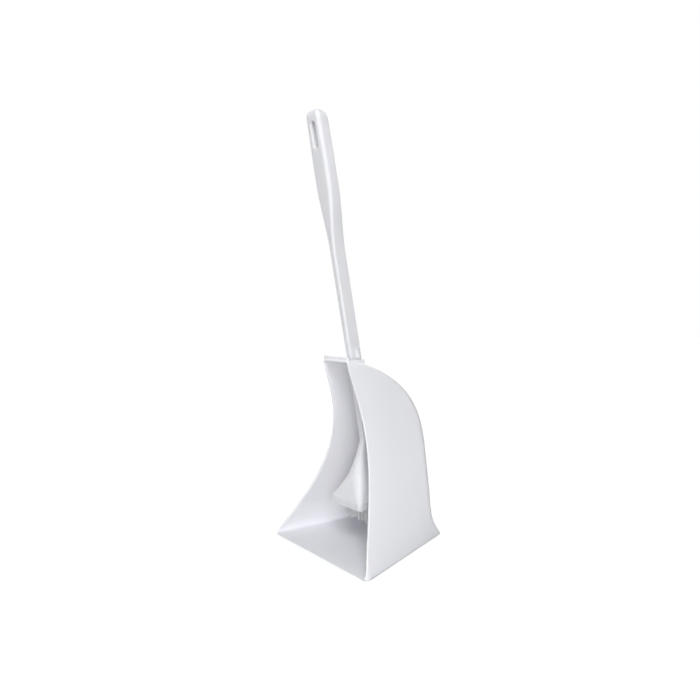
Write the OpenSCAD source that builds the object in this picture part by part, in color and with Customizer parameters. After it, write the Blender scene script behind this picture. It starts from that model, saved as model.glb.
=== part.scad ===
// Dust pan and brush set. The pan stands upright on its base with its mouth to the
// front, and the long-handled brush hangs through a keyhole in the pan's roof.
// Frame: X across, Y from the mouth (-) to the heel (+), Z up from the floor,
// origin at the centre of the base.

/* [Pan] */
// Width of the mouth at the floor
pan_w = 171; // [160:1:180]
// Depth of the base from front lip to heel
pan_d = 161; // [156:1:168]
// Height of the pan to its top rim
pan_h = 225; // [222:1:228]
// Width of the top rim
rim_w = 44; // [42:1:50]
// How far the top rim stands back from the front lip
rim_back = 28.5; // [26:0.5:34]
// How far the rim stands above the roof behind it
rim_rise = 4; // [3:0.5:4.5]
// How far the mouth's edge bows back between floor and rim
mouth_bow = 34; // [28:1:36]
// Height at which the back stands furthest out
belly_z = 117; // [105:1:125]
// How far the heel flares out at the floor
heel_flare = 21; // [12:1:24]
// Wall thickness
wall = 2.2; // [1.8:0.1:2.6]
// Floor thickness
floor_t = 2.4; // [2:0.1:3]

/* [Keyhole] */
// Width of the narrow part, where the stem hangs
slot_w = 11.5; // [11:0.1:12.5]
// Width of the wide part, which the grip passes through
key_w = 27; // [26:0.5:29]
// Length of the wide part, front to back
key_len = 20; // [19:0.5:22]
// Height of the level seat on the collar around the narrow part
seat_z = 220.5; // [219.5:0.1:221]
// Thickness of the collar's wall
collar_t = 3; // [2.4:0.1:3.4]

/* [Handle] */
// Height of the handle's top end
handle_top = 494; // [480:1:500]
// Lean of the handle from upright, in degrees
lean = 11.6; // [11:0.1:12]
// Width of the grip
grip_w = 24; // [22:0.5:25]
// Depth of the grip
grip_d = 16.6; // [15.5:0.1:17]
// Width of the stem
stem_w = 8.5; // [8:0.1:9]
// Depth of the stem
stem_d = 17.6; // [17:0.1:18]
// Width of the hanging slot
hang_w = 7; // [6:0.5:8]
// Length of the hanging slot
hang_len = 28; // [24:1:30]
// How far each stop lug stands out from the stem
lug_out = 5.2; // [4.8:0.1:5.4]

/* [Brush head] */
// Width of the head across its skirt
head_w = 52.4; // [52:0.1:56]
// Height of the skirt's lower edge above the floor
skirt_z = 46.2; // [46:0.1:50]
// Height of the skirt
skirt_h = 9.6; // [8.6:0.1:10]
// Thickness of the tuft block
block_t = 7; // [6:0.1:7.5]
// Height of the bristle tips above the floor
tip_z = 26.6; // [24:0.1:30]
// Number of tufts in a row
tufts_in_row = 7; // [5:1:7]
// Spacing of the tufts along a row
tuft_step_x = 6; // [5.6:0.1:6.2]
// Spacing of the rows
tuft_step_y = 4.7; // [4.6:0.1:4.8]
// Diameter of a tuft where it is set
tuft_dia = 3.2; // [3:0.1:3.3]

/* [Hidden] */
$fn = 48;
eps = 0.01;

lip_y = -pan_d / 2;
rim_y = lip_y + rim_back;
roof_t = 2.4;
roof_h = pan_h - rim_rise;
crest_len = 6;
belly_y = lip_y + 157;
corner_r = 18;
heel_r = 7;
nose_r = 9;
side_taper = 0.2;
pan_rows = 26;
side_steps = 8;
arc_steps = 6;

// The brush hangs on its lugs, and swings about them.
lug_r = 2;
seat_gap = 0.3;
pivot_z = seat_z + lug_r + seat_gap;
pivot_y = lip_y + 58.6;
slot_front = pivot_y - 12;
slot_back = pivot_y + 10.8;

head_front = lip_y + 43.5;
head_back = lip_y + 87;
fan_top = 124;
skirt_top = skirt_z + skirt_h;
block_z = skirt_z + 1;
tuft_y = lip_y + 70.9;
block_gap = 0.1;
skirt_wall = 2.4;
hole_depth = 6;
anchor_h = 1.5;
anchor_t = 0.5;
tuft_gap = 0.05;
tuft_spread = 1.3;
row_count = 5;

// Smooth step from 0 to 1 as v goes from a to b
function smooth(v, a, b) =
    let (u = min(1, max(0, (v - a) / (b - a)))) u * u * (3 - 2 * u);

// ---- The pan's form, as functions of the height z. "inset" moves it inwards.
function half_w(z) = rim_w / 2 + (pan_w - rim_w) / 2 * pow(1 - z / pan_h, 2.2);
function taper(z) = side_taper * pow(1 - z / pan_h, 5);
function front_y(z) =
    lip_y + rim_back * z / pan_h
    + mouth_bow * pow(sin(180 * z / pan_h), 1 + 0.3 * pow(z / pan_h, 3));

function roof_y(z, inset) =
    let (crest = rim_y + crest_len,
         u = (z - belly_z) / (roof_h - inset - belly_z))
    crest + (belly_y - inset - crest) * pow(max(0, 1 - pow(u, 2.4)), 0.75);

function heel_y(z, inset) =
    let (flare_h = 28)
    belly_y - inset - 17 * pow(1 - z / belly_z, 1.2)
    + (z < flare_h ? heel_flare * pow(1 - z / flare_h, 1.6) : 0);

function back_y(z, inset) = z > belly_z ? roof_y(z, inset) : heel_y(z, inset);

// Rounding of the two front corners of the floor
function nose(y) =
    let (d = y - lip_y)
    d < nose_r ? nose_r - sqrt(max(0, nose_r * nose_r - pow(nose_r - d, 2))) : 0;

function side_x(z, y, inset) = half_w(z) - inset - taper(z) * (y - front_y(z)) - nose(y);

// Right half of the wall's outline at height z, from the mouth's edge to the back
function half_outline(z, inset) =
    let (yf = front_y(z),
         yb = back_y(z, inset),
         a = atan(taper(z)),
         full_r = heel_r + (corner_r - heel_r) * min(1, z / 40) - inset,
         r = min(full_r, 0.6 * (yb - yf)),
         cy = yb - r,
         cx = side_x(z, cy, inset) - r / cos(a),
         y_end = cy + r * sin(a),
         crowd = 1 + 0.9 * pow(1 - z / pan_h, 3))
    concat(
        [for (k = [0 : side_steps])
            let (y = yf + (y_end - yf) * pow(k / side_steps, crowd))
            [side_x(z, y, inset), y, z]],
        [for (k = [1 : arc_steps])
            let (b = a + (90 - a) * k / arc_steps)
            [cx + r * cos(b), cy + r * sin(b), z]]);

function mirrored(points) =
    [for (k = [len(points) - 1 : -1 : 0]) [-points[k][0], points[k][1], points[k][2]]];

function outline(z, inset) =
    let (right = half_outline(z, inset)) concat(right, mirrored(right));

// Heights of the rows, close together near the floor and near the roof
function row_z(j, low, high) = low + (high - low) * (1 - cos(180 * j / pan_rows)) / 2;

// Walls, roof and floor of the pan: an outer and an inner skin joined along the mouth
module pan_shell() {
    n = 2 * (side_steps + arc_steps + 1);
    outer = [for (j = [0 : pan_rows]) each outline(row_z(j, 0, roof_h), 0)];
    inner = [for (j = [0 : pan_rows])
        each outline(row_z(j, floor_t, roof_h - roof_t), wall)];
    m = n * (pan_rows + 1);
    top = n * pan_rows;
    last = n - 1;
    skin_faces = [for (j = [0 : pan_rows - 1], i = [0 : n - 2])
        let (a = j * n + i)
        each [[a, a + n, a + 1],
              [a + 1, a + n, a + n + 1],
              [m + a, m + a + 1, m + a + n],
              [m + a + 1, m + a + n + 1, m + a + n]]];
    edge_faces = [for (j = [0 : pan_rows - 1])
        let (a = j * n, b = j * n + last)
        each [[a, m + a, a + n],
              [a + n, m + a, m + a + n],
              [b, b + n, m + b],
              [b + n, m + b + n, m + b]]];
    strips = [for (i = [0 : n / 2 - 2])
        each [[i, i + 1, last - i], [i + 1, last - i - 1, last - i]]];
    mouth_faces = [[0, last, m + last], [0, m + last, m],
                   [top, m + top, m + top + last], [top, m + top + last, top + last]];
    end_faces = concat(
        strips,
        [for (f = strips) [m + f[0], m + f[2], m + f[1]]],
        [for (f = strips) [top + f[0], top + f[2], top + f[1]]],
        [for (f = strips) [m + top + f[0], m + top + f[1], m + top + f[2]]],
        mouth_faces);
    polyhedron(points = concat(outer, inner),
               faces = concat(skin_faces, edge_faces, end_faces));
}

// Rounded rectangle from its corners, for the keyhole and the tuft block
module rounded_box(x, y0, y1, r) {
    hull_free_w = x - 2 * r;
    union() {
        translate([-x / 2, y0 + r]) square([x, y1 - y0 - 2 * r]);
        translate([-hull_free_w / 2, y0]) square([hull_free_w, y1 - y0]);
        for (sx = [-1, 1], yc = [y0 + r, y1 - r])
            translate([sx * hull_free_w / 2, yc]) circle(r);
    }
}

module keyhole_cut() {
    translate([0, 0, pan_h - 60]) linear_extrude(80) {
        rounded_box(slot_w, slot_front, slot_back + 4, 3);
        rounded_box(key_w, slot_back, slot_back + key_len, 4);
    }
}

// Level collar around the narrow part of the keyhole, which the lugs rest on.
// Its top is level and its underside slopes with the roof.
module collar() {
    front = slot_front - collar_t;
    front_h = 3.4;
    back_h = 10.4;
    side_view = [[front, seat_z], [slot_back, seat_z],
                 [slot_back, seat_z - back_h], [front, seat_z - front_h]];
    intersection() {
        translate([0, 0, seat_z - back_h - 1]) linear_extrude(back_h + 1)
            rounded_box(slot_w + 2 * collar_t, front, slot_back, 3);
        rotate([90, 0, 90]) linear_extrude(key_w, center = true) polygon(side_view);
    }
}

// Rim that stands up along the roof's front edge. It follows the mouth's curve,
// and its corners are rounded.
module rim_lip() {
    lip_t = 3.2;
    low = roof_h - 2.6;
    side_view = [[front_y(pan_h), pan_h], [front_y(pan_h) + lip_t, pan_h],
                 [front_y(low) + lip_t, low], [front_y(low), low]];
    intersection() {
        rotate([90, 0, 90]) linear_extrude(rim_w, center = true) polygon(side_view);
        translate([0, rim_y + 2 * crest_len, 0]) rotate([90, 0, 0])
            linear_extrude(3 * crest_len) rounded_box(rim_w, low, pan_h, 3);
    }
}

module pan() {
    color("whitesmoke") difference() {
        union() {
            pan_shell();
            collar();
            rim_lip();
        }
        keyhole_cut();
    }
}

// ---- The brush's handle and head, as level sections at height z
function axis_y(z) = pivot_y + (pivot_z - z) * tan(lean);

function grip_half_w(z) =
    let (narrow = 342, full = 418, end_round = 11)
    let (base = stem_w / 2 + (grip_w - stem_w) / 2 * smooth(z, narrow, full),
         slim = z > full ? 1.6 * pow((z - full) / (handle_top - full), 2) : 0,
         d = max(0, z - (handle_top - end_round)) / end_round)
    (base - slim) * sqrt(max(0.02, 1 - pow(d, 2.6)));

function grip_half_d(z) =
    let (end_round = 9,
         d = max(0, z - (handle_top - end_round)) / end_round)
    (stem_d / 2 + (grip_d - stem_d) / 2 * smooth(z, 342, 418))
    * sqrt(max(0.05, 1 - pow(d, 3)));

function fan_u(z) = min(1, max(0, (fan_top - z) / (fan_top - skirt_top)));
function section_half_w(z) =
    z > fan_top ? grip_half_w(z) : stem_w / 2 + (head_w - stem_w) / 2 * pow(fan_u(z), 2);
function section_front(z) =
    z > fan_top ? axis_y(z) - grip_half_d(z)
    : let (u = fan_u(z), start = axis_y(fan_top) - stem_d / 2)
      start + (head_front - start) * pow(u, 1.15);
function section_back(z) =
    z > fan_top ? axis_y(z) + grip_half_d(z)
    : let (u = fan_u(z), start = axis_y(fan_top) + stem_d / 2)
      start + (head_back - start) * u;
function section_r(z) =
    z > fan_top ? 2.2 + 1.8 * smooth(z, 342, 418) : let (u = fan_u(z)) 2.2 + 2.8 * u + 30 * u * (1 - u);

// One level section: a rounded rectangle of 4 * (section_arc + 1) points
section_arc = 4;
function section(z, inset) =
    let (w = section_half_w(z) - inset,
         yf = section_front(z) + inset,
         yb = section_back(z) - inset,
         r = min(section_r(z), 0.9 * w, 0.45 * (yb - yf)),
         centres = [[w - r, yb - r, 0], [r - w, yb - r, 90],
                    [r - w, yf + r, 180], [w - r, yf + r, 270]])
    [for (c = centres, k = [0 : section_arc])
        let (b = c[2] + 90 * k / section_arc)
        [c[0] + r * cos(b), c[1] + r * sin(b), z]];

// Solid through a list of rings, from the lowest to the highest
module loft(rings) {
    n = len(rings[0]);
    rows = len(rings);
    points = [for (ring = rings) each ring];
    sides = [for (j = [0 : rows - 2], i = [0 : n - 1])
        let (a = j * n + i, b = j * n + (i + 1) % n)
        each [[a, a + n, b], [b, a + n, b + n]]];
    ends = [[for (i = [0 : n - 1]) i],
            [for (i = [n - 1 : -1 : 0]) (rows - 1) * n + i]];
    polyhedron(points = points, faces = concat(sides, ends));
}

function steps(low, high, count) = [for (k = [0 : count]) low + (high - low) * k / count];
function brush_levels() = concat(
    [skirt_z],
    steps(skirt_top, fan_top, 9),
    steps(fan_top + 12, 336, 3),
    steps(342, 418, 8),
    steps(440, handle_top - 14, 2),
    [for (k = [1 : 5]) handle_top - 11 + 11 * sin(90 * k / 5)]);

module hang_slot() {
    z_mid = handle_top - 25;
    reach = hang_len - hang_w;
    translate([0, axis_y(z_mid), z_mid]) rotate([lean, 0, 0]) rotate([90, 0, 0])
        linear_extrude(40, center = true) {
            square([hang_w, reach], center = true);
            for (s = [-1, 1]) translate([0, s * reach / 2]) circle(hang_w / 2);
        }
}

// Stop lug on the stem's side: a ramp above, a round foot below
module lug(side) {
    ramp_h = 11;
    root = stem_w / 2 - 0.6;
    translate([0, pivot_y, pivot_z]) {
        translate([0, lug_r, 0]) rotate([90, 0, 0]) linear_extrude(2 * lug_r)
            polygon([[side * root, 0], [side * (stem_w / 2 + lug_out), 0],
                     [side * (stem_w / 2 + lug_out), 1.5], [side * root, ramp_h]]);
        translate([side * root, 0, 0]) rotate([0, side * 90, 0])
            cylinder(r = lug_r, h = lug_out + 0.6);
    }
}

// Hollow inside the fan-shaped head, above the tuft block
module head_hollow() {
    hollow_top = fan_top - 26;
    loft([for (z = steps(block_z + block_t - eps, hollow_top, 5)) section(z, 4)]);
}

module brush_body() {
    color("white") difference() {
        union() {
            loft([for (z = brush_levels()) section(z, 0)]);
            lug(1);
            lug(-1);
        }
        hang_slot();
        head_hollow();
        translate([0, 0, skirt_z - 1]) linear_extrude(block_z + block_t - skirt_z + 1)
            rounded_box(head_w - 2 * skirt_wall, head_front + skirt_wall,
                        head_back - skirt_wall, 3);
    }
}

// ---- Tuft block, tufts and their anchors
function tuft_x(i) = (i - (tufts_in_row - 1) / 2) * tuft_step_x;
function row_y(row) = tuft_y + (row - (row_count + 1) / 2) * tuft_step_y;

module tuft_block() {
    edge = skirt_wall + block_gap;
    color("gainsboro") difference() {
        translate([0, 0, block_z]) linear_extrude(block_t)
            rounded_box(head_w - 2 * edge, head_front + edge, head_back - edge, 2.9);
        for (row = [1 : row_count], i = [0 : tufts_in_row - 1])
            translate([tuft_x(i), row_y(row), block_z - eps])
                cylinder(d = tuft_dia + 2 * tuft_gap, h = hole_depth + eps);
    }
}

// One bundle of filaments: straight in its hole, spreading towards the tips
module tuft() {
    set_h = hole_depth - anchor_h;
    translate([0, 0, block_z]) cylinder(d = tuft_dia, h = set_h);
    translate([0, 0, tip_z])
        cylinder(d1 = tuft_dia + tuft_spread, d2 = tuft_dia, h = block_z - tip_z);
}

module tufts(row) {
    color("snow")
        for (i = [0 : tufts_in_row - 1])
            translate([tuft_x(i), row_y(row), 0]) tuft();
}

// Flat wire anchors that hold the tufts in the block
module tuft_anchors() {
    anchor_w = tuft_dia - 0.2;
    color("silver")
        for (row = [1 : row_count], i = [0 : tufts_in_row - 1])
            translate([tuft_x(i) - anchor_w / 2, row_y(row) - anchor_t / 2,
                       block_z + hole_depth - anchor_h])
                cube([anchor_w, anchor_t, anchor_h]);
}

pan();
brush_body();
tuft_block();
tufts(1);  // tufts_row_1
tufts(2);  // tufts_row_2
tufts(3);  // tufts_row_3
tufts(4);  // tufts_row_4
tufts(5);  // tufts_row_5
tuft_anchors();
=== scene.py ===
"""Looks of the dust pan and brush set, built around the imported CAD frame.
Shapes are worked out in mm, and become metres where a mesh is made."""
import math

import bpy
import numpy as np
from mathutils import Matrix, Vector


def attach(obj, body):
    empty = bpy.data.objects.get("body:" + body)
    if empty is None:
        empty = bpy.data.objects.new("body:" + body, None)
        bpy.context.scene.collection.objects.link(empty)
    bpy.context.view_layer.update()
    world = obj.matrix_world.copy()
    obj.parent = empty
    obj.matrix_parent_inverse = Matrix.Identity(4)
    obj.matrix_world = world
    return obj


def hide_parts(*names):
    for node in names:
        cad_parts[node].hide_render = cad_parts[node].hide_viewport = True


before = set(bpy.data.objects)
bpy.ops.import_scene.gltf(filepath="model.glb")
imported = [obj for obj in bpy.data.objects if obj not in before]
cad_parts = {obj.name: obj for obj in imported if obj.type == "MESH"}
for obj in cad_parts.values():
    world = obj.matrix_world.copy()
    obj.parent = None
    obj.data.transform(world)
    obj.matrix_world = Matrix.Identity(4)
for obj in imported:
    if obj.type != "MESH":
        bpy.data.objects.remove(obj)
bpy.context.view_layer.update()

MM = 0.001

# ---- Sizes of the pan and the brush, in mm. They are part.scad's, but for PAN_W,
# which is 0.6 mm less, so that the rounded mesh stays inside the CAD model.
PAN_W, PAN_D, PAN_H = 170.4, 161.0, 225.0
RIM_W, RIM_BACK, RIM_RISE, MOUTH_BOW = 44.0, 28.5, 4.0, 34.0
BELLY_Z, HEEL_FLARE = 117.0, 21.0
WALL, FLOOR_T, CREST_LEN = 2.2, 2.4, 6.0
CORNER_R, HEEL_R, NOSE_R, SIDE_TAPER = 18.0, 7.0, 9.0, 0.2
SLOT_W, KEY_W, KEY_LEN, SEAT_Z, COLLAR_T = 11.5, 27.0, 20.0, 220.5, 3.0
COLLAR_FRONT_H, COLLAR_DROP = 3.4, 7.0
HANDLE_TOP, LEAN = 494.0, math.radians(11.6)
GRIP_W, GRIP_D, STEM_W, STEM_D = 24.0, 16.6, 8.5, 17.6
HANG_W, HANG_LEN, LUG_OUT, LUG_R = 7.0, 28.0, 5.2, 2.0
HEAD_W, SKIRT_Z, SKIRT_H, SKIRT_WALL, BLOCK_T = 52.4, 46.2, 9.6, 2.4, 7.0
TIP_Z, TUFTS_IN_ROW, TUFT_ROWS = 26.6, 7, 5
TUFT_STEP_X, TUFT_STEP_Y = 6.0, 4.7

LIP_Y = -PAN_D / 2
RIM_Y = LIP_Y + RIM_BACK
ROOF_H = PAN_H - RIM_RISE
BELLY_Y = LIP_Y + 157
PIVOT_Z = SEAT_Z + LUG_R + 0.3
PIVOT_Y = LIP_Y + 58.6
SLOT_FRONT, SLOT_BACK = PIVOT_Y - 12, PIVOT_Y + 10.8
HEAD_FRONT, HEAD_BACK, TUFT_Y = LIP_Y + 43.5, LIP_Y + 87, LIP_Y + 70.9
FAN_TOP = 124.0
SKIRT_TOP = SKIRT_Z + SKIRT_H
BLOCK_Z = SKIRT_Z + 1
COLLAR_FRONT = SLOT_FRONT - COLLAR_T

NECK_LOW, NECK_HIGH, GRIP_SLIM = 342.0, 418.0, 1.6
HANG_Z = HANDLE_TOP - 25
LUG_RAMP = 11.0
HOLLOW_TOP, HOLLOW_WALL = FAN_TOP - 26, 4.0

# ---- Roundings and small steps of the mouldings. The rim's front is undercut, and a
# little thicker than the plain rim in part.scad.
ROOF_CORNER_R = 4.0
FLOOR_FILLET = 5.0
EDGE_R = 0.6
RIM_T, RIM_CORNER_R, RIM_EDGE_R, RIM_TILT = 4.2, 3.0, 0.7, 0.45
RIM_H = RIM_RISE + 2.6
TOP_ROUND_R, TOP_GAP = 8.0, 0.2
BASE_R = 0.9
LIP_RAMP, LIP_THIN = 10.0, 1.2
SKIRT_STEP = 0.5
PAN_VOXEL, BRUSH_VOXEL = 1.25, 1.0

# ---- Bristles: each filament is its own thin tube
FILAMENTS, FILAMENT_R, ROOT_R, TIP_SPREAD = 34, 0.24, 1.3, 0.9
TUBE_SIDES, TUBE_RINGS = 4, 4
SET_DEPTH = 4.4

# ---- Camera, in metres: the height and bearing that the object is seen from
CAMERA_AT = (0.4671, -0.4381, 0.2661)
CAMERA_YAW, CAMERA_PITCH = math.radians(48.75), math.radians(-3.19)
CAMERA_LENS = 27.26

# ---- Light: the bright side of the studio, and how bright its dim and its bright side are
KEY_SIDE, SURROUND = (0.55, -0.35, 0.77), (0.14, 0.38)


# ---- Distance fields: negative inside, arrays of points in mm
def smooth_step(v, a, b):
    u = np.clip((v - a) / (b - a), 0, 1)
    return u * u * (3 - 2 * u)


def join(a, b, r):
    """Union of two fields with a concave fillet of about r."""
    h = np.clip(r - np.abs(a - b), 0, None) / r
    return np.minimum(a, b) - h * h * r * 0.25


def meet(a, b, r):
    """Intersection of two fields whose shared edge is rounded with radius r."""
    past_a, past_b = np.clip(a + r, 0, None), np.clip(b + r, 0, None)
    return np.minimum(np.maximum(a, b), -r) + np.hypot(past_a, past_b)


def carve(a, b, r):
    """Field a with field b taken out, the rim rounded with radius r."""
    return meet(a, -b, r)


def rounded_box_2d(x, y, half_x, half_y, r):
    qx, qy = np.abs(x) - half_x + r, np.abs(y) - half_y + r
    outside = np.hypot(np.clip(qx, 0, None), np.clip(qy, 0, None))
    return outside + np.minimum(np.maximum(qx, qy), 0) - r


class Profile:
    """Signed distance to an open curve in the (y, z) plane, positive on the left of its direction.
    It is tabled once and then read by bilinear lookup."""

    STEP = 0.5

    def __init__(self, ys, zs, y_range, z_range):
        self.y0, self.z0 = y_range[0], z_range[0]
        gy = np.arange(y_range[0], y_range[1] + self.STEP, self.STEP)
        gz = np.arange(z_range[0], z_range[1] + self.STEP, self.STEP)
        y, z = (g.ravel() for g in np.meshgrid(gy, gz, indexing="ij"))
        best = np.full(y.shape, 1e9)
        sign = np.ones(y.shape)
        for ay, az, by, bz in zip(ys[:-1], zs[:-1], ys[1:], zs[1:]):
            dy, dz = by - ay, bz - az
            t = np.clip(((y - ay) * dy + (z - az) * dz) / (dy * dy + dz * dz), 0, 1)
            dist = np.hypot(y - ay - t * dy, z - az - t * dz)
            side = dy * (z - az) - dz * (y - ay)
            nearer = dist < best - 1e-9
            best = np.where(nearer, dist, best)
            sign = np.where(nearer, np.where(side >= 0, 1.0, -1.0), sign)
        self.table = (best * sign).reshape(len(gy), len(gz))

    def __call__(self, y, z):
        u = np.clip((y - self.y0) / self.STEP, 0, self.table.shape[0] - 1.001)
        v = np.clip((z - self.z0) / self.STEP, 0, self.table.shape[1] - 1.001)
        i, j = u.astype(int), v.astype(int)
        a, b = u - i, v - j
        t = self.table
        return ((t[i, j] * (1 - a) + t[i + 1, j] * a) * (1 - b)
                + (t[i, j + 1] * (1 - a) + t[i + 1, j + 1] * a) * b)


# ---- The pan's form, as part.scad has it
def pan_half_w(z):
    return RIM_W / 2 + (PAN_W - RIM_W) / 2 * np.clip(1 - z / PAN_H, 0, 1) ** 2.2


def pan_taper(z):
    return SIDE_TAPER * np.clip(1 - z / PAN_H, 0, 1) ** 5


def pan_front_y(z):
    bow = np.clip(np.sin(np.pi * z / PAN_H), 0, 1) ** (1 + 0.3 * (z / PAN_H) ** 3)
    return LIP_Y + RIM_BACK * z / PAN_H + MOUTH_BOW * bow


def pan_back_y(z):
    crest = RIM_Y + CREST_LEN
    u = np.clip((z - BELLY_Z) / (ROOF_H - BELLY_Z), 0, 1)
    roof = crest + (BELLY_Y - crest) * np.clip(1 - u ** 2.4, 0, 1) ** 0.75
    flare_h = 28.0
    below_belly, in_flare = np.clip(1 - z / BELLY_Z, 0, 1), np.clip(1 - z / flare_h, 0, 1)
    heel = BELLY_Y - 17 * below_belly ** 1.2 + HEEL_FLARE * in_flare ** 1.6
    return np.where(z > BELLY_Z, roof, heel)


def make_profiles():
    """The back with the roof, from the heel over the top to the front, and the mouth's edge.
    Both run on past the pan at each end."""
    rise = (1 - np.cos(np.pi * np.linspace(0, 1, 220))) / 2
    back_z = ROOF_H * rise
    back_y = pan_back_y(back_z)
    back_y = np.concatenate([[back_y[0] + 40], back_y, [RIM_Y - 60]])
    back_z = np.concatenate([[-62.0], back_z, [ROOF_H]])
    front_z = PAN_H * rise
    front_y = pan_front_y(front_z)
    front_y = np.concatenate([[front_y[0] - 30], front_y, [front_y[-1] - 25]])
    front_z = np.concatenate([[-49.0], front_z, [PAN_H + 40]])
    span_y, span_z = (LIP_Y - 12, -LIP_Y + 12), (-8.0, PAN_H + 10)
    return Profile(back_y, back_z, span_y, span_z), Profile(front_y, front_z, span_y, span_z)


def pan_field(back, front):
    """Distance field of the whole pan: even walls and roof, floor, collar, rim, lip and keyhole."""

    def field(x, y, z):
        ax = np.abs(x)
        step = 0.5
        zc = np.clip(z, 0, PAN_H)
        side = pan_half_w(zc) - pan_taper(zc) * (y - pan_front_y(zc))
        above, below = np.clip(zc + step, 0, PAN_H), np.clip(zc - step, 0, PAN_H)
        slope = (pan_half_w(above) - pan_half_w(below)) / (2 * step)
        side_d = (ax - side) / np.sqrt(1 + slope ** 2 + pan_taper(zc) ** 2)
        back_d = -back(y, z)
        corner = HEEL_R + (CORNER_R - HEEL_R) * np.clip(zc / 40, 0, 1)
        roof = smooth_step(z, BELLY_Z, PAN_H)
        corner = corner * (1 - roof) + ROOF_CORNER_R * roof
        hood = meet(side_d, back_d, corner)
        ramp = LIP_THIN * np.clip(1 - (y - LIP_Y) / LIP_RAMP, 0, 1)
        cavity = meet(hood + WALL, FLOOR_T - ramp - z, FLOOR_FILLET)
        body = np.maximum(meet(hood, -z, BASE_R), -cavity)
        collar_low = SEAT_Z - COLLAR_FRONT_H - (y - COLLAR_FRONT) * COLLAR_DROP / (SLOT_BACK - COLLAR_FRONT)
        collar = meet(rounded_box_2d(x, y - (COLLAR_FRONT + SLOT_BACK) / 2, SLOT_W / 2 + COLLAR_T,
                                     (SLOT_BACK - COLLAR_FRONT) / 2, 4.0),
                      np.maximum(z - SEAT_Z, collar_low - z), 0.7)
        body = join(body, collar, 1.6)
        body = meet(body, front(y, z), EDGE_R)
        rim = rounded_box_2d(x, z - PAN_H + RIM_H / 2, RIM_W / 2 - 0.3, RIM_H / 2, RIM_CORNER_R)
        undercut = ((RIM_Y - y) + (PAN_H - z) * RIM_TILT) / math.hypot(1, RIM_TILT)
        rim = meet(meet(rim, -front(y, z) - RIM_T, RIM_EDGE_R), undercut, RIM_EDGE_R)
        body = join(body, rim, 1.0)
        slot_end = SLOT_BACK + 4
        slot_half = (slot_end - SLOT_FRONT) / 2
        slot = rounded_box_2d(x, y - SLOT_FRONT - slot_half, SLOT_W / 2, slot_half, 3.0)
        key = rounded_box_2d(x, y - SLOT_BACK - KEY_LEN / 2, KEY_W / 2, KEY_LEN / 2, 4.0)
        hole = np.maximum(join(slot, key, 2.0), (PAN_H - 60) - z)
        body = carve(body, hole, 0.7)
        nose_y = y - LIP_Y - NOSE_R
        nose_x = ax - side + NOSE_R
        nose = np.where((nose_y < 0) & (nose_x > 0), np.hypot(nose_x, nose_y) - NOSE_R, -NOSE_R)
        return meet(body, nose, 0.3)

    return field


# ---- Surface of a field: one point in each cell that it crosses, slid onto the true surface
def evaluate(field, points, chunk=400000):
    out = np.empty(len(points))
    for start in range(0, len(points), chunk):
        p = points[start:start + chunk]
        out[start:start + chunk] = field(p[:, 0], p[:, 1], p[:, 2])
    return out


def gradient(field, points, h=0.05):
    g = np.empty_like(points)
    for axis in range(3):
        d = np.zeros(3)
        d[axis] = h
        g[:, axis] = (evaluate(field, points + d) - evaluate(field, points - d)) / (2 * h)
    return g


def surface(field, low, high, step):
    """Quads over the zero surface of a field, by surface nets."""
    axes = [np.arange(a, b + step, step) for a, b in zip(low, high)]
    shape = tuple(len(a) for a in axes)
    values = np.empty(shape)
    gy, gz = np.meshgrid(axes[1], axes[2], indexing="ij")
    for i, x in enumerate(axes[0]):
        values[i] = field(np.full(gy.shape, x), gy, gz)
    inside = values < 0
    cells = tuple(n - 1 for n in shape)
    corner_count = np.zeros(cells, np.int8)
    for dx in (0, 1):
        for dy in (0, 1):
            for dz in (0, 1):
                corner_count += inside[dx:dx + cells[0], dy:dy + cells[1], dz:dz + cells[2]]
    active = (corner_count > 0) & (corner_count < 8)
    index = np.full(cells, -1, np.int64)
    index[active] = np.arange(active.sum())
    ci = np.argwhere(active)
    total = np.zeros((len(ci), 3))
    count = np.zeros(len(ci))
    corners = [np.array((dx, dy, dz)) for dx in (0, 1) for dy in (0, 1) for dz in (0, 1)]
    for a in corners:
        for b in corners:
            if (b - a).sum() != 1 or np.abs(b - a).sum() != 1:
                continue
            va = values[tuple((ci + a).T)]
            vb = values[tuple((ci + b).T)]
            cross = (va < 0) != (vb < 0)
            t = np.where(cross, va / np.where(va == vb, 1, va - vb), 0)
            p = ci + a + t[:, None] * (b - a)
            total += p * cross[:, None]
            count += cross
    points = np.array(low) + total / count[:, None] * step
    quads = []
    for axis in range(3):
        u, v = (axis + 1) % 3, (axis + 2) % 3
        first = [slice(None)] * 3
        second = [slice(None)] * 3
        first[axis], second[axis] = slice(0, -1), slice(1, None)
        change = inside[tuple(first)] != inside[tuple(second)]
        e = np.argwhere(change)
        e = e[(e[:, u] > 0) & (e[:, v] > 0) & (e[:, u] < shape[u] - 1) & (e[:, v] < shape[v] - 1)]
        du, dv = np.zeros(3, int), np.zeros(3, int)
        du[u], dv[v] = 1, 1
        ring = np.stack([index[tuple((e - du - dv).T)], index[tuple((e - dv).T)],
                         index[tuple(e.T)], index[tuple((e - du).T)]], 1)
        leaving = inside[tuple(first)][tuple(e.T)]
        quads.append(np.where(leaving[:, None], ring, ring[:, ::-1]))
    faces = np.concatenate(quads)
    for _ in range(4):
        value = evaluate(field, points)
        g = gradient(field, points)
        move = value[:, None] * g / np.clip((g ** 2).sum(1), 0.3, None)[:, None]
        length = np.linalg.norm(move, axis=1)
        points = points - move * np.minimum(1, 0.4 * step / np.clip(length, 1e-9, None))[:, None]
    return points, faces


# ---- The brush body
def axis_y(z):
    return PIVOT_Y + (PIVOT_Z - z) * math.tan(LEAN)


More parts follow.
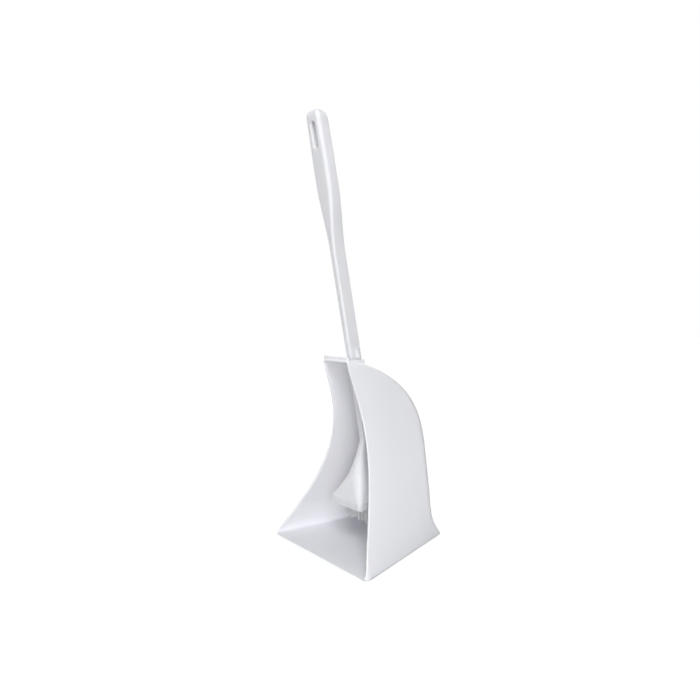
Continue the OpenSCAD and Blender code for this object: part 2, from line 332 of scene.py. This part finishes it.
def grip_half_w(z):
    slim = np.where(z > NECK_HIGH, GRIP_SLIM * ((z - NECK_HIGH) / (HANDLE_TOP - NECK_HIGH)) ** 2, 0)
    return STEM_W / 2 + (GRIP_W - STEM_W) / 2 * smooth_step(z, NECK_LOW, NECK_HIGH) - slim


def grip_half_d(z):
    return STEM_D / 2 + (GRIP_D - STEM_D) / 2 * smooth_step(z, NECK_LOW, NECK_HIGH)


def brush_section(z):
    """Half width, front, back and corner radius of the brush at height z."""
    u = np.clip((FAN_TOP - z) / (FAN_TOP - SKIRT_TOP), 0, 1)
    fan = z < FAN_TOP
    start_front, start_back = axis_y(FAN_TOP) - STEM_D / 2, axis_y(FAN_TOP) + STEM_D / 2
    half_w = np.where(fan, STEM_W / 2 + (HEAD_W - STEM_W) / 2 * u ** 2, grip_half_w(z))
    front = np.where(fan, start_front + (HEAD_FRONT - start_front) * u ** 1.15, axis_y(z) - grip_half_d(z))
    back = np.where(fan, start_back + (HEAD_BACK - start_back) * u, axis_y(z) + grip_half_d(z))
    corner = np.where(fan, 2.2 + 2.8 * u + 30 * u * (1 - u), 2.2 + 2.2 * smooth_step(z, NECK_LOW, NECK_HIGH))
    return half_w, front, back, corner


def brush_skin(x, y, z):
    """Distance to the brush's outer form, without its ends."""
    half_w, front, back, corner = brush_section(z)
    w2, f2, b2, _ = brush_section(z + 0.5)
    w1, f1, b1, _ = brush_section(z - 0.5)
    half_y = (back - front) / 2
    corner = np.minimum(corner, 0.9 * np.minimum(half_w, half_y))
    ax, dy = np.abs(x), y - (front + back) / 2
    side_d = (ax - half_w) / np.sqrt(1 + (w2 - w1) ** 2)
    face_slope = np.where(dy < 0, f2 - f1, b2 - b1)
    face_d = (np.abs(dy) - half_y) / np.sqrt(1 + face_slope ** 2)
    return meet(side_d, face_d, corner)


def brush_field(x, y, z):
    """Distance field of the brush body: handle, lugs, hanging slot, and head with its step and hollow."""
    fade = SKIRT_STEP * (1 - smooth_step(z, SKIRT_TOP, SKIRT_TOP + 16))
    upper = np.maximum(brush_skin(x, y, z) + fade, SKIRT_TOP - 1 - z)
    skirt = meet(brush_skin(x, y, z), np.maximum(z - SKIRT_TOP, SKIRT_Z - z), 0.4)
    body = np.minimum(meet(upper, z - HANDLE_TOP + TOP_GAP, TOP_ROUND_R), skirt)
    for side in (-1, 1):
        out, up = x * side - STEM_W / 2, z - PIVOT_Z
        flank = out - LUG_OUT * (1 - np.clip(up, 0, None) / LUG_RAMP)
        ramp = meet(np.maximum(flank * 0.9, -up), np.abs(y - PIVOT_Y) - LUG_R, 0.4)
        foot = meet(np.hypot(y - PIVOT_Y, up) - LUG_R, out - LUG_OUT, 0.3)
        body = join(body, np.maximum(np.minimum(ramp, foot), -out - 1.5), 0.8)
    along = (z - HANG_Z) * math.cos(LEAN) - (y - axis_y(HANG_Z)) * math.sin(LEAN)
    body = carve(body, rounded_box_2d(x, along, HANG_W / 2, HANG_LEN / 2, HANG_W / 2), 1.0)
    centre, ceiling = (HEAD_FRONT + HEAD_BACK) / 2, BLOCK_Z + BLOCK_T
    half_depth = (HEAD_BACK - HEAD_FRONT) / 2
    pocket = rounded_box_2d(x, y - centre, HEAD_W / 2 - SKIRT_WALL, half_depth - SKIRT_WALL, 3.0)
    hollow = np.maximum(brush_skin(x, y, z) + HOLLOW_WALL, z - HOLLOW_TOP)
    space = np.minimum(np.maximum(pocket, z - ceiling), np.maximum(hollow, ceiling - 0.1 - z))
    return carve(body, space, 0.4)


# ---- Bristles
def bristle_row(row, rng):
    """One row of tufts. Every filament is a thin tapered tube that leaves its hole and spreads a little,
    and each tuft has its own lean and is cut to its own length."""
    points, faces = [], []
    row_y = TUFT_Y + (row - (TUFT_ROWS + 1) / 2) * TUFT_STEP_Y
    top, bottom = BLOCK_Z + SET_DEPTH, TIP_Z
    for i in range(TUFTS_IN_ROW):
        x0 = (i - (TUFTS_IN_ROW - 1) / 2) * TUFT_STEP_X
        lean, trim = rng.normal(0, 0.6, 2), rng.uniform(0, 2.4)
        for _ in range(FILAMENTS):
            ang, rad = rng.uniform(0, 2 * math.pi), math.sqrt(rng.uniform(0, 1))
            root = np.array([x0 + math.cos(ang) * rad * ROOT_R, row_y + math.sin(ang) * rad * ROOT_R])
            out = np.array([math.cos(ang), math.sin(ang)]) * rad * rng.uniform(0.6, 1.15) + lean * 0.5
            tip_z = bottom + trim + abs(rng.normal(0, 0.8)) + 0.8 * rad
            thick = FILAMENT_R * rng.uniform(0.85, 1.1)
            first = len(points)
            for k in range(TUBE_RINGS + 1):
                u = k / TUBE_RINGS
                z = top + (tip_z - top) * u
                free = max(0.0, (BLOCK_Z - z) / (BLOCK_Z - bottom))
                centre = root + out * TIP_SPREAD * free ** 1.5
                r = thick * (1 - 0.25 * u)
                for s in range(TUBE_SIDES):
                    b = 2 * math.pi * s / TUBE_SIDES + ang
                    points.append((centre[0] + r * math.cos(b), centre[1] + r * math.sin(b), z))
            for k in range(TUBE_RINGS):
                for s in range(TUBE_SIDES):
                    a, b = first + k * TUBE_SIDES + s, first + k * TUBE_SIDES + (s + 1) % TUBE_SIDES
                    faces.append((a, a + TUBE_SIDES, b + TUBE_SIDES, b))
            faces.append(tuple(first + s for s in range(TUBE_SIDES)))
            faces.append(tuple(first + TUBE_RINGS * TUBE_SIDES + s for s in reversed(range(TUBE_SIDES))))
    return np.array(points), faces


# ---- Making pieces
def make_piece(name, points, faces, normals=None):
    mesh = bpy.data.meshes.new(name)
    mesh.from_pydata((points * MM).tolist(), [], [tuple(f) for f in faces])
    mesh.validate()
    mesh.polygons.foreach_set("use_smooth", [True] * len(mesh.polygons))
    if normals is not None:
        mesh.normals_split_custom_set_from_vertices(normals.tolist())
    mesh.update()
    obj = bpy.data.objects.new(name, mesh)
    bpy.context.collection.objects.link(obj)
    return obj


def moulded(name, field, low, high, voxel):
    points, faces = surface(field, low, high, voxel)
    g = gradient(field, points, 0.15)
    return make_piece(name, points, faces.tolist(), g / np.linalg.norm(g, axis=1)[:, None])


# ---- Materials
def new_material(name):
    mat = bpy.data.materials.new(name)
    mat.use_nodes = True
    tree = mat.node_tree
    return mat, tree, tree.nodes["Principled BSDF"]


def noise(tree, scale, detail, stretch=(1, 1, 1)):
    """Noise over the piece's own coordinates, which are in metres."""
    where = tree.nodes.new("ShaderNodeTexCoord")
    mapping = tree.nodes.new("ShaderNodeMapping")
    mapping.inputs["Scale"].default_value = stretch
    tex = tree.nodes.new("ShaderNodeTexNoise")
    tex.inputs["Scale"].default_value = scale
    tex.inputs["Detail"].default_value = detail
    tree.links.new(where.outputs["Object"], mapping.inputs["Vector"])
    tree.links.new(mapping.outputs["Vector"], tex.inputs["Vector"])
    return tex.outputs["Fac"]


def remap(tree, value, low, high, out_low, out_high):
    node = tree.nodes.new("ShaderNodeMapRange")
    node.inputs["From Min"].default_value = low
    node.inputs["From Max"].default_value = high
    node.inputs["To Min"].default_value = out_low
    node.inputs["To Max"].default_value = out_high
    tree.links.new(value, node.inputs["Value"])
    return node.outputs["Result"]


def blend_colours(tree, share, a, b):
    node = tree.nodes.new("ShaderNodeMix")
    node.data_type = "RGBA"
    colour_sockets = (6, 7)
    for socket, colour in zip(colour_sockets, (a, b)):
        if isinstance(colour, tuple):
            node.inputs[socket].default_value = (*colour, 1)
        else:
            tree.links.new(colour, node.inputs[socket])
    tree.links.new(share, node.inputs[0])
    return node.outputs[2]


def add(tree, a, b):
    node = tree.nodes.new("ShaderNodeMath")
    node.operation = "ADD"
    tree.links.new(a, node.inputs[0])
    tree.links.new(b, node.inputs[1])
    return node.outputs[0]


def bump(tree, shader, height, depth, strength):
    node = tree.nodes.new("ShaderNodeBump")
    node.inputs["Distance"].default_value = depth
    node.inputs["Strength"].default_value = strength
    tree.links.new(height, node.inputs["Height"])
    tree.links.new(node.outputs["Normal"], shader.inputs["Normal"])


def satin_plastic(name, clean, tinted, roughness, flow):
    """Moulded polypropylene: faint flow marks, fine mould grain, rubbed edges and hairline scuffs."""
    mat, tree, shader = new_material(name)
    flow_marks = remap(tree, noise(tree, 9, 3, flow), 0.3, 0.7, 0, 1)
    colour = blend_colours(tree, flow_marks, clean, tinted)
    edges = tree.nodes.new("ShaderNodeNewGeometry").outputs["Pointiness"]
    rubbed = remap(tree, edges, 0.53, 0.66, 0, 0.35)
    colour = blend_colours(tree, rubbed, colour, tuple(min(1, c * 1.04) for c in clean))
    tree.links.new(colour, shader.inputs["Base Color"])
    patches = remap(tree, noise(tree, 35, 4), 0.3, 0.7, roughness - 0.05, roughness + 0.05)
    scuffs = remap(tree, noise(tree, 260, 2, (1, 1, 0.06)), 0.66, 0.74, 0, 0.12)
    tree.links.new(add(tree, patches, scuffs), shader.inputs["Roughness"])
    grain = noise(tree, 2600, 2)
    waves = remap(tree, noise(tree, 60, 2), 0, 1, 0, 2)
    bump(tree, shader, add(tree, grain, waves), 0.00004, 0.5)
    shader.inputs["IOR"].default_value = 1.49
    shader.inputs["Subsurface Weight"].default_value = 0.9
    shader.inputs["Subsurface Radius"].default_value = (1, 0.95, 0.9)
    shader.inputs["Subsurface Scale"].default_value = 0.005
    return mat


def filament_plastic(name):
    """Slightly translucent white filaments, each a little different from the next."""
    mat, tree, shader = new_material(name)
    each = remap(tree, noise(tree, 900, 1, (1, 1, 0.02)), 0.3, 0.7, 0, 1)
    colour = blend_colours(tree, each, (0.92, 0.92, 0.93), (0.98, 0.98, 0.98))
    tree.links.new(colour, shader.inputs["Base Color"])
    tree.links.new(remap(tree, noise(tree, 400, 2), 0.3, 0.7, 0.32, 0.5), shader.inputs["Roughness"])
    bump(tree, shader, noise(tree, 5000, 1, (1, 1, 0.2)), 0.00003, 0.4)
    shader.inputs["Subsurface Weight"].default_value = 0.4
    shader.inputs["Subsurface Radius"].default_value = (1, 1, 1)
    shader.inputs["Subsurface Scale"].default_value = 0.001
    shader.inputs["Sheen Weight"].default_value = 0.8
    shader.inputs["Sheen Roughness"].default_value = 0.6
    return mat


def drawn_wire(name):
    """Galvanised flat wire with drawing lines."""
    mat, tree, shader = new_material(name)
    spangle = remap(tree, noise(tree, 800, 3), 0.3, 0.7, 0, 1)
    colour = blend_colours(tree, spangle, (0.55, 0.56, 0.58), (0.70, 0.71, 0.72))
    tree.links.new(colour, shader.inputs["Base Color"])
    drawing_lines = noise(tree, 1500, 2, (0.05, 1, 1))
    tree.links.new(remap(tree, drawing_lines, 0.3, 0.7, 0.25, 0.45), shader.inputs["Roughness"])
    bump(tree, shader, noise(tree, 4000, 1, (0.05, 1, 1)), 0.00002, 0.5)
    shader.inputs["Metallic"].default_value = 1.0
    return mat


pan_plastic = satin_plastic(
    "pan_satin_white", (0.87, 0.875, 0.92), (0.84, 0.845, 0.895), roughness=0.42, flow=(1, 1, 0.35))
brush_plastic = satin_plastic(
    "brush_satin_white", (0.77, 0.775, 0.80), (0.74, 0.745, 0.77), roughness=0.36, flow=(1, 1, 0.2))
block_plastic = satin_plastic(
    "block_white", (0.74, 0.75, 0.76), (0.70, 0.71, 0.73), roughness=0.5, flow=(0.5, 1, 1))
bristle_plastic = filament_plastic("bristle_white")
anchor_metal = drawn_wire("anchor_wire")


def paint(obj, material):
    if not obj.material_slots:
        obj.data.materials.append(material)
    for material_slot in obj.material_slots:
        material_slot.material = material


def stands_for(obj, material, body, slot, *nodes):
    """Paint a piece, and let it ride on its body in place of CAD nodes."""
    paint(obj, material)
    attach(obj, body)
    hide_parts(*nodes)


# ---- The pieces
pan_low = (-PAN_W / 2 - 3, LIP_Y - 3, -3)
pan_high = (PAN_W / 2 + 3, -LIP_Y + 3, PAN_H + 3)
pan = moulded("pan_moulding", pan_field(*make_profiles()), pan_low, pan_high, PAN_VOXEL)
stands_for(pan, pan_plastic, "pan", "pan_plastic", "pan")

brush_low = (-HEAD_W / 2 - 2, axis_y(HANDLE_TOP) - GRIP_D / 2 - 4, SKIRT_Z - 2)
brush_high = (HEAD_W / 2 + 2, HEAD_BACK + 3, HANDLE_TOP + 2)
brush = moulded("brush_moulding", brush_field, brush_low, brush_high, BRUSH_VOXEL)
stands_for(brush, brush_plastic, "brush", "brush_plastic", "brush_body")

rng = np.random.default_rng(11)
for row in range(1, TUFT_ROWS + 1):
    bristles = make_piece(f"bristles_row_{row}", *bristle_row(row, rng))
    stands_for(bristles, bristle_plastic, "brush", "bristle", f"tufts_row_{row}")

paint(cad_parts["tuft_block"], block_plastic)
paint(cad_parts["tuft_anchors"], anchor_metal)


# ---- Floor, light and camera
def make_floor():
    """Plain white floor, a little lit of its own where the camera sees it, more so far from the object.
    It gives the object less light back than white would."""
    mesh = bpy.data.meshes.new("floor")
    size = 8.0
    corners = [(-size, -size, 0), (size, -size, 0), (size, size, 0), (-size, size, 0)]
    mesh.from_pydata(corners, [], [(0, 1, 2, 3)])
    floor = bpy.data.objects.new("floor", mesh)
    bpy.context.collection.objects.link(floor)
    mat, tree, shader = new_material("studio_white")
    tone = blend_colours(tree, noise(tree, 3, 2), (0.93, 0.93, 0.93), (0.95, 0.95, 0.95))
    seen = tree.nodes.new("ShaderNodeLightPath").outputs["Is Camera Ray"]
    tree.links.new(blend_colours(tree, seen, (0.5, 0.5, 0.5), tone), shader.inputs["Base Color"])
    shader.inputs["Emission Color"].default_value = (1, 1, 1, 1)
    middle = tree.nodes.new("ShaderNodeTexCoord").outputs["Object"]
    distance = tree.nodes.new("ShaderNodeVectorMath")
    distance.operation = "LENGTH"
    tree.links.new(middle, distance.inputs[0])
    far = remap(tree, distance.outputs["Value"], 0.4, 2.2, 0.25, 0.72)
    lift = tree.nodes.new("ShaderNodeMath")
    lift.operation = "MULTIPLY"
    tree.links.new(far, lift.inputs[0])
    tree.links.new(seen, lift.inputs[1])
    tree.links.new(lift.outputs[0], shader.inputs["Emission Strength"])
    shader.inputs["Roughness"].default_value = 0.7
    mesh.materials.append(mat)


def area_light(name, place, target, size, watts):
    lamp = bpy.data.lights.new(name, "AREA")
    lamp.shape, lamp.size, lamp.energy = "DISK", size, watts
    obj = bpy.data.objects.new(name, lamp)
    obj.location = place
    obj.rotation_euler = (Vector(target) - Vector(place)).to_track_quat("-Z", "Y").to_euler()
    bpy.context.collection.objects.link(obj)


def make_world():
    """Soft studio surround, brighter towards the key side. Seen directly it is plain white."""
    world = bpy.data.worlds.new("studio")
    world.use_nodes = True
    tree = world.node_tree
    background = tree.nodes["Background"]
    where = tree.nodes.new("ShaderNodeTexCoord")
    facing = tree.nodes.new("ShaderNodeVectorMath")
    facing.operation = "DOT_PRODUCT"
    facing.inputs[1].default_value = Vector(KEY_SIDE).normalized()
    tree.links.new(where.outputs["Generated"], facing.inputs[0])
    glow = remap(tree, facing.outputs["Value"], -1, 1, *SURROUND)
    seen = tree.nodes.new("ShaderNodeLightPath").outputs["Is Camera Ray"]
    strength = tree.nodes.new("ShaderNodeMix")
    tree.links.new(seen, strength.inputs[0])
    tree.links.new(glow, strength.inputs[2])
    strength.inputs[3].default_value = 1.0
    tree.links.new(strength.outputs[0], background.inputs["Strength"])
    background.inputs["Color"].default_value = (1, 1, 1, 1)
    bpy.context.scene.world = world


def make_camera():
    data = bpy.data.cameras.new("camera")
    data.sensor_width, data.lens = 36.0, CAMERA_LENS
    data.clip_start, data.clip_end = 0.01, 50
    camera = bpy.data.objects.new("camera", data)
    camera.location = CAMERA_AT
    camera.rotation_euler = (math.pi / 2 + CAMERA_PITCH, 0, CAMERA_YAW)
    bpy.context.collection.objects.link(camera)
    bpy.context.scene.camera = camera


make_floor()
make_world()
area_light("key", (0.95, -0.8, 1.4), (0, 0, 0.1), 0.8, 15)
area_light("side", (1.3, -1.05, 0.4), (0, 0, 0.15), 0.8, 8)
area_light("back", (-1.0, 1.3, 1.1), (0, 0, 0.1), 1.4, 12)
area_light("left", (-1.5, -0.4, 0.6), (0, 0, 0.1), 1.2, 2.5)
area_light("front", (0.35, -1.6, 0.2), (0, 0, 0.05), 0.5, 3.5)
make_camera()
bpy.context.scene.view_settings.view_transform = "Standard"
